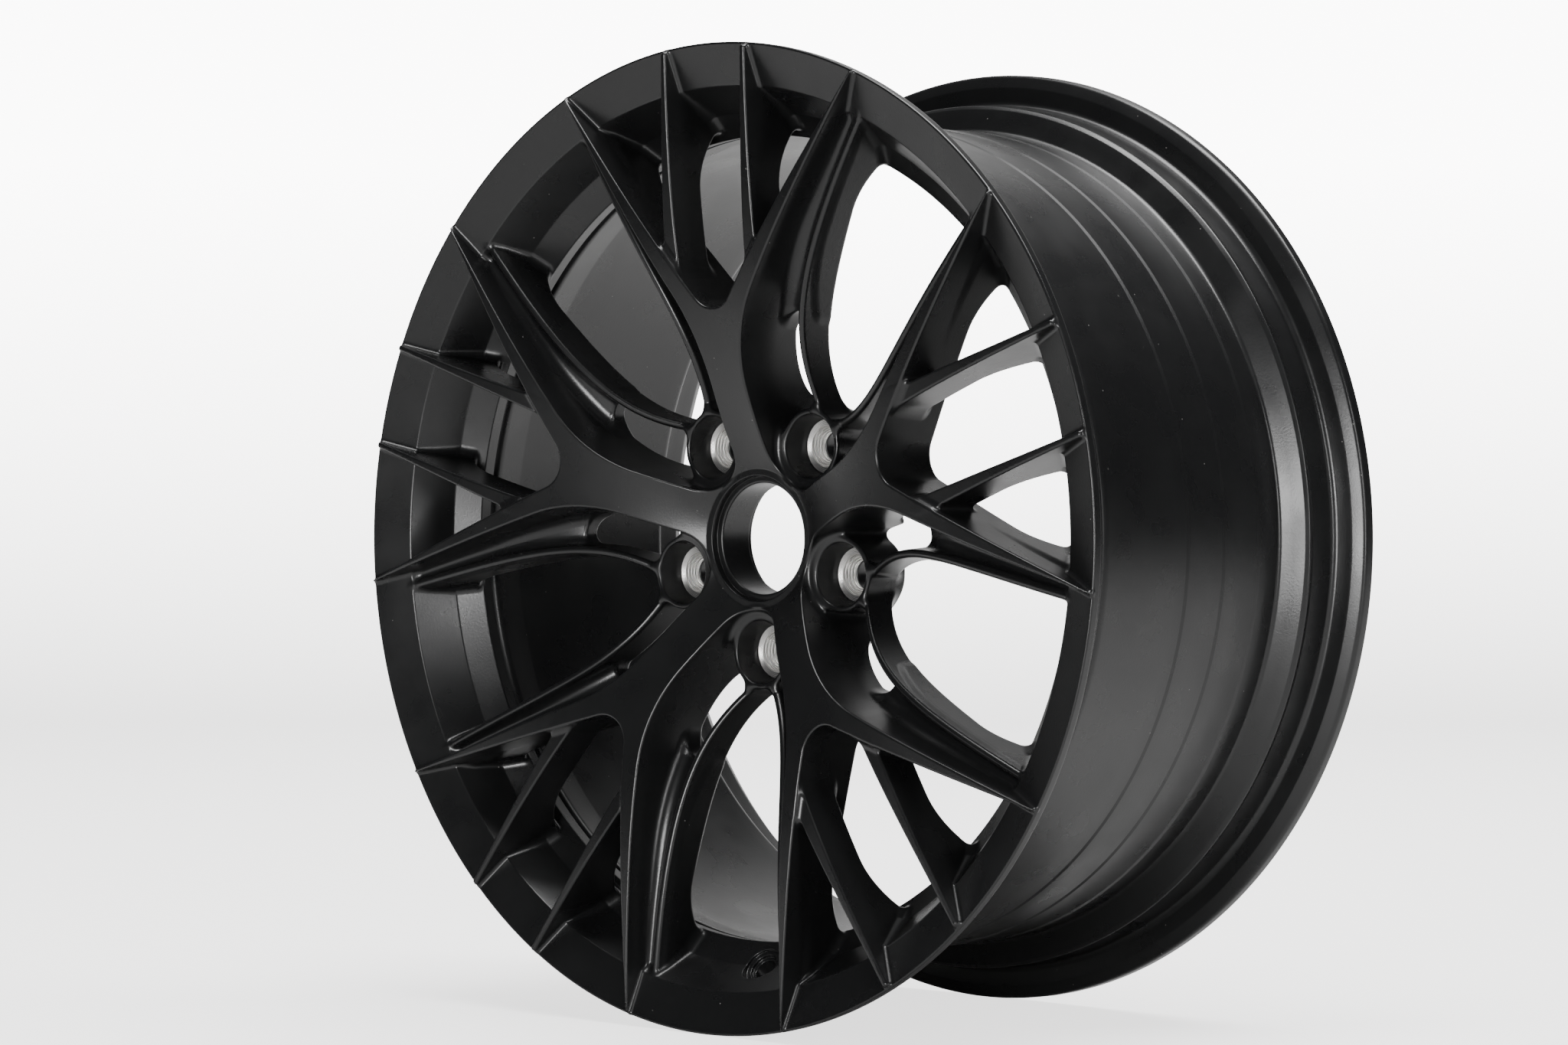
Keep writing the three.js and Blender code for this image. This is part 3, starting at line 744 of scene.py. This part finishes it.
# %% Bare metal of the bolt seats
def bare_metal():
    """Machined aluminium: rings of tool marks in the radius from the seat's own axis, which the
    piece's own map carries, over a fine grain."""
    material, nodes, links, shader = new_material("bare_turned_metal")
    place = nodes.new("ShaderNodeTexCoord")
    skin_group = nodes.new("ShaderNodeGroup")
    skin_group.node_tree = film
    skin_group.inputs["Fine Scale"].default_value = 1400.0
    skin_group.inputs["Slow Scale"].default_value = 120.0
    skin_group.inputs["Slow Share"].default_value = 0.4
    links.new(place.outputs["Object"], skin_group.inputs["Vector"])
    marks = nodes.new("ShaderNodeTexWave")
    marks.wave_type = "BANDS"
    marks.bands_direction = "X"
    marks.inputs["Scale"].default_value = 5.5
    marks.inputs["Distortion"].default_value = 0.6
    marks.inputs["Detail"].default_value = 2.0
    links.new(place.outputs["UV"], marks.inputs["Vector"])
    colour = nodes.new("ShaderNodeMix")
    colour.data_type = "RGBA"
    colour.inputs["A"].default_value = (0.92, 0.91, 0.89, 1)
    colour.inputs["B"].default_value = (0.70, 0.69, 0.67, 1)
    links.new(skin_group.outputs["Mask"], colour.inputs["Factor"])
    links.new(colour.outputs["Result"], shader.inputs["Base Color"])
    links.new(spread(nodes, links, marks.outputs["Fac"], 0.22, 0.42), shader.inputs["Roughness"])
    height = nodes.new("ShaderNodeMix")
    height.inputs["Factor"].default_value = 0.25
    links.new(marks.outputs["Fac"], height.inputs["A"])
    links.new(skin_group.outputs["Height"], height.inputs["B"])
    bump = nodes.new("ShaderNodeBump")
    bump.inputs["Strength"].default_value = 0.7
    bump.inputs["Distance"].default_value = 0.0003
    links.new(height.outputs["Result"], bump.inputs["Height"])
    links.new(bump.outputs["Normal"], shader.inputs["Normal"])
    shader.inputs["Metallic"].default_value = 1.0
    return material


coat = powder_coat()
metal = bare_metal()
print("materials:", coat.name, metal.name)

# %% [markdown]
# ## The five sectors
# Each sector is turned to its spoke. Its end planes are closed inside the metal, so that it is
# a solid of its own. The last one carries the valve hole.

# %% Close the end planes of a sector
def end_cap(points, faces, ids, normal):
    """Triangles that fill the section in one end plane, facing out of it."""
    flat = np.zeros(len(points), bool)
    flat[ids] = True
    sides = faces[:, [0, 1, 1, 2, 2, 0]].reshape(-1, 2)
    keys = np.sort(sides, 1)
    codes = keys[:, 0] * len(points) + keys[:, 1]
    _, first, times = np.unique(codes, return_index=True, return_counts=True)
    loose = sides[first[times == 1]]
    loose = loose[flat[loose].all(1)]
    mesh = bmesh.new()
    made = {int(i): mesh.verts.new(points[i]) for i in np.unique(loose)}
    names = {vert: i for i, vert in made.items()}
    edges = [mesh.edges.new((made[int(a)], made[int(b)])) for a, b in loose]
    filled = bmesh.ops.triangle_fill(mesh, edges=edges, use_beauty=True, use_dissolve=False)
    caps = [[names[v] for v in f.verts] for f in filled["geom"] if isinstance(f, bmesh.types.BMFace)]
    mesh.free()
    caps = np.array(caps)
    a, b, c = (points[caps[:, k]] for k in range(3))
    wrong = np.cross(b - a, c - a) @ normal < 0
    caps[wrong] = caps[wrong][:, ::-1]
    return caps


def closed_sector(points, faces, normals, ends):
    """The sector with both caps, and a normal for every corner of every face."""
    caps = [end_cap(points, faces, ids, normal) for ids, normal in zip(ends, plane_normals)]
    corners = [normals[faces.ravel()]]
    corners += [np.repeat(normal[None], cap.size, 0) for cap, normal in zip(caps, plane_normals)]
    return np.concatenate([faces] + caps), np.concatenate(corners)


# %% Put a mesh in the scene
def piece(name, points, faces, material, corner_normals=None):
    """A mesh piece in metres, from points in millimetres (x, y, z) in the frame's own axes."""
    mesh = bpy.data.meshes.new(name)
    mesh.vertices.add(len(points))
    mesh.vertices.foreach_set("co", (np.asarray(points) * MM).ravel())
    sides = faces.shape[1]
    mesh.loops.add(faces.size)
    mesh.loops.foreach_set("vertex_index", faces.ravel().astype(np.int32))
    mesh.polygons.add(len(faces))
    mesh.polygons.foreach_set("loop_start", np.arange(0, faces.size, sides, dtype=np.int32))
    mesh.polygons.foreach_set("use_smooth", np.ones(len(faces), bool))
    mesh.update(calc_edges=True)
    mesh.validate()
    if corner_normals is not None:
        mesh.normals_split_custom_set(corner_normals)
    thing = bpy.data.objects.new(name, mesh)
    bpy.context.scene.collection.objects.link(thing)
    thing.data.materials.append(material)
    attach(thing, "root")
    return thing


def turned_to(points, turn, offset=0.0):
    """Points (x, depth, z) turned about the axis, with the depth counted from the face plane."""
    x, d, z = points.T
    return np.stack([x * math.cos(turn) - z * math.sin(turn), d + offset,
                     x * math.sin(turn) + z * math.cos(turn)], 1)


# %% Build the sectors
plain = sector_mesh(faces_left=188000)
last_turn = math.radians(first_spoke - 90 + 360 / spokes * (spokes - 1))
with_valve = sector_mesh(last_turn, faces_left=188000)
for k in range(1, spokes + 1):
    points, faces, normals, ends = with_valve if k == spokes else plain
    faces, corners = closed_sector(points, faces, normals, ends)
    turn = math.radians(first_spoke - 90 + 360 / spokes * (k - 1))
    sector = piece(f"wheel_sector_{k}", turned_to(points, turn, face_plane), faces, coat,
                   turned_to(corners, turn))
    before = (k - 2) % spokes + 1
    stands_for = [f"spoke_{k}", f"leg_left_{k}", f"leg_right_{k}", f"branch_left_{k}",
                  f"branch_right_{k}", f"rib_right_{k}", f"rib_left_{before}", f"bolt_boss_{k}"]
    if k == 1:
        stands_for += ["hub_center", "outboard_flange", "outboard_bead_seat"]
    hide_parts(*stands_for)
    print(sector.name, len(sector.data.polygons), "faces for", len(stands_for), "nodes")

# %% [markdown]
# ## The barrel and the rear flange
# Behind the spokes the rim is a plain turned part, so one closed outline carried once around
# the axis gives it. The well climbs in three small steps towards the rear, and the corner
# between bead seat and flange is a hollow, which catches a bright line.

# %% The barrel's outline
def rear_outline():
    """The closed section from the join to the rear flange's edge and back along the inside."""
    start = well_radius
    steps = []
    for i, depth in enumerate((114.0, 142.4, 170.0)):
        steps += [(start + 0.5 * i, depth, 0.5), (start + 0.5 * (i + 1), depth + 2.0, 0.5)]
    top = start + 1.5
    inner_join = lip["shoulder_radius"] + 5.0 * (join_depth - lip["shoulder_depth"]) / 31.0
    return rounded([
        (inner_join, join_depth, 0.0),
        (start, join_depth, 0.0),
        *steps,
        (top, 187.0, 3.0),
        (bead_radius - 2.6, 192.2, 2.0),
        (bead_radius - 0.5, 194.2, 1.5),
        (bead_radius - 1.6, 197.2, 2.0),
        (bead_radius, rear_depth - 10.0, 3.6),
        (flange_radius - 7.0, rear_depth - 10.0, 2.5),
        (flange_radius - 0.3, rear_depth - 7.2, 3.0),
        (flange_radius, rear_depth, 2.2),
        (flange_radius - 8.0, rear_depth, 3.0),
        (bead_radius + 1.5, rear_depth - 3.2, 4.0),
        (bead_radius - 6.2, rear_depth - 14.0, 5.0),
        (bead_radius - 8.2, 194.2, 4.0),
        (well_radius - 3.7, 182.2, 6.0),
        (well_radius - 5.2, 70.0, 12.0),
    ], steps=5)


# %% Turn an outline about an axis
def turned_surface(outline, around, centre=(0.0, 0.0)):
    """Points at (radius cos a, depth, radius sin a) for each outline point and each of many
    even angles a, with quads between them. The surface closes on itself both ways."""
    a = np.linspace(0, 2 * math.pi, around, endpoint=False)[:, None]
    r, d = outline[:, 0][None], outline[:, 1][None]
    rings = [centre[0] + r * np.cos(a), d + 0 * a, centre[1] + r * np.sin(a)]
    points = np.stack(rings, 2).reshape(-1, 3)
    n = len(outline)
    i, j = (k.ravel() for k in np.meshgrid(np.arange(around), np.arange(n), indexing="ij"))
    i2, j2 = (i + 1) % around, (j + 1) % n
    quads = np.stack([i * n + j, i2 * n + j, i2 * n + j2, i * n + j2], 1)
    a, b, c = (points[quads[:, k]] for k in range(3))
    volume = (np.cross(b - a, c - a) * a).sum()
    return points, quads if volume > 0 else quads[:, ::-1]


def even_out(outline, longest):
    """The closed outline with extra points along its long sides, evenly spaced."""
    out = []
    for a, b in zip(outline, np.roll(outline, -1, 0)):
        parts = max(1, int(math.ceil(np.hypot(*(b - a)) / longest)))
        out += [a + (b - a) * k / parts for k in range(parts)]
    return np.array(out)


section = even_out(rear_outline(), 9.0)
points, quads = turned_surface(section, 512)
barrel = piece("rim_barrel_turned", points + (0, face_plane, 0), quads, coat)
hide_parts("rim_barrel", "inboard_bead_seat", "inboard_flange")
print(barrel.name, len(section), "points in its outline,", len(quads), "faces")

# %% [markdown]
# ## Bolt seats
# Each hole has a steel-bright seat at the bottom of its counterbore: a flat rim and a cone for
# the nut. The tool marks run around it, so the piece carries a map whose first coordinate is
# the radius.

# %% The seat rings
def seat_outline():
    """Section of a seat ring: flat rim, cone of 60 degrees, short bore."""
    outer, inner, rim = counterbore_radius - 0.3, bolt_hole_radius + 0.3, 3.2
    cone = (outer - rim - inner) / math.tan(math.radians(30))
    return rounded([
        (inner, seat_floor, 0.3),
        (inner, min(seat_depth + cone, seat_floor - 1.0), 0.4),
        (outer - rim, seat_depth, 0.35),
        (outer, seat_depth, 0.5),
        (outer, seat_floor, 0.3),
    ], steps=4)


seat_section = even_out(seat_outline(), 0.9)
for k in range(1, spokes + 1):
    turn = math.radians(first_spoke + 180 / spokes + 360 / spokes * (k - 1))
    centre = (bolt_radius * math.cos(turn), bolt_radius * math.sin(turn))
    points, quads = turned_surface(seat_section, 96, centre)
    ring = piece(f"bolt_seat_ring_{k}", points + (0, face_plane, 0), quads, metal)
    radius = np.tile(seat_section[:, 0], 96)
    along = np.tile(seat_section[:, 1], 96)
    uv = np.stack([(radius + along) * 0.1, np.repeat(np.arange(96) / 96, len(seat_section))], 1)
    layer = ring.data.uv_layers.new(name="turned")
    corner_ids = np.zeros(len(ring.data.loops), np.int32)
    ring.data.loops.foreach_get("vertex_index", corner_ids)
    layer.data.foreach_set("uv", uv[corner_ids].astype(np.float32).ravel())
    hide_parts(f"bolt_seat_{k}")
print("five seat rings,", len(seat_section), "points in their outline")

# %% [markdown]
# ## Floor, backdrop and light
# The wheel stands on a seamless pale sweep. Black paint shows nothing but what it reflects, so
# the light is chosen by what each surface sees. A small box in front draws the right-hand edges, a
# tall narrow one at the right draws the rear of the rim, a large one above lights the barrel, and
# one more lights the wall behind. The side that the face looks at stays dark.

# %% The sweep
def sweep():
    """A floor that rises in a quarter circle into a wall behind the wheel."""
    ground = -flange_radius * MM
    reach, height, bend = 4.5, 4.2, 1.6
    a = np.linspace(0, math.pi / 2, 24)
    run = np.concatenate([[-6.0], reach - bend + bend * np.sin(a), [reach]])
    rise = np.concatenate([[0.0], bend - bend * np.cos(a), [height]])
    along = np.array([-7.0, 7.0])
    view = math.atan2(gaze.y, gaze.x)
    u, v = np.meshgrid(along, np.arange(len(run)), indexing="ij")
    x = run[v.astype(int)] * math.cos(view) - u * math.sin(view)
    y = run[v.astype(int)] * math.sin(view) + u * math.cos(view)
    points = np.stack([x, y, ground + rise[v.astype(int)]], 2).reshape(-1, 3)
    n = len(run)
    quads = [(j, j + 1, n + j + 1, n + j) for j in range(n - 1)]
    mesh = bpy.data.meshes.new("sweep")
    mesh.from_pydata(points.tolist(), [], quads)
    mesh.polygons.foreach_set("use_smooth", np.ones(len(quads), bool))
    return bpy.data.objects.new("sweep", mesh)


def pale_paper():
    """Matt paper. To the camera it also glows, more with each metre of height, as an overexposed
    backdrop does; the wheel is only lit by what the lamps leave on it."""
    material, nodes, links, shader = new_material("pale_paper")
    shader.inputs["Base Color"].default_value = (0.58, 0.577, 0.574, 1)
    shader.inputs["Roughness"].default_value = 0.9
    shader.inputs["Emission Color"].default_value = (1.0, 0.99, 0.985, 1)
    place = nodes.new("ShaderNodeTexCoord")
    split = nodes.new("ShaderNodeSeparateXYZ")
    path = nodes.new("ShaderNodeLightPath")
    seen = nodes.new("ShaderNodeMath")
    seen.operation = "MULTIPLY"
    links.new(place.outputs["Object"], split.inputs["Vector"])
    glow = spread(nodes, links, split.outputs["Z"], 1.9, 9.5, -flange_radius * MM, 0.55)
    links.new(glow, seen.inputs[0])
    links.new(path.outputs["Is Camera Ray"], seen.inputs[1])
    links.new(seen.outputs["Value"], shader.inputs["Emission Strength"])
    return material


paper = pale_paper()
floor = sweep()
bpy.context.scene.collection.objects.link(floor)
floor.data.materials.append(paper)


# %% Lights
def soft_box(name, place, target, width, height, power, tint=(1.0, 1.0, 1.0)):
    """A rectangular area light that stands at a place and faces a target."""
    data = bpy.data.lights.new(name, "AREA")
    data.shape = "RECTANGLE"
    data.size, data.size_y = width, height
    data.energy = power
    data.color = tint
    lamp = bpy.data.objects.new(name, data)
    lamp.location = place
    lamp.rotation_euler = (Vector(target) - Vector(place)).to_track_quat("-Z", "Y").to_euler()
    bpy.context.scene.collection.objects.link(lamp)
    return lamp


soft_box("top_box", (0.2, 0.6, 3.2), (0, 0, 0), 3.5, 3.0, 115.0)
soft_box("front_box", (0.95, -2.5, 0.15), (0, 0, 0), 0.7, 0.75, 60.0)
soft_box("right_box", (2.8, -0.75, 0.3), (0, 0.1, 0), 0.35, 2.0, 42.0)
soft_box("wall_box", (0.4, 0.2, 3.0), (-2.6, 2.8, 0.6), 3.0, 2.0, 320.0)

world = bpy.data.worlds.new("studio")
world.use_nodes = True
world.node_tree.nodes["Background"].inputs["Color"].default_value = (0.93, 0.95, 1.0, 1)
world.node_tree.nodes["Background"].inputs["Strength"].default_value = 0.045
bpy.context.scene.world = world
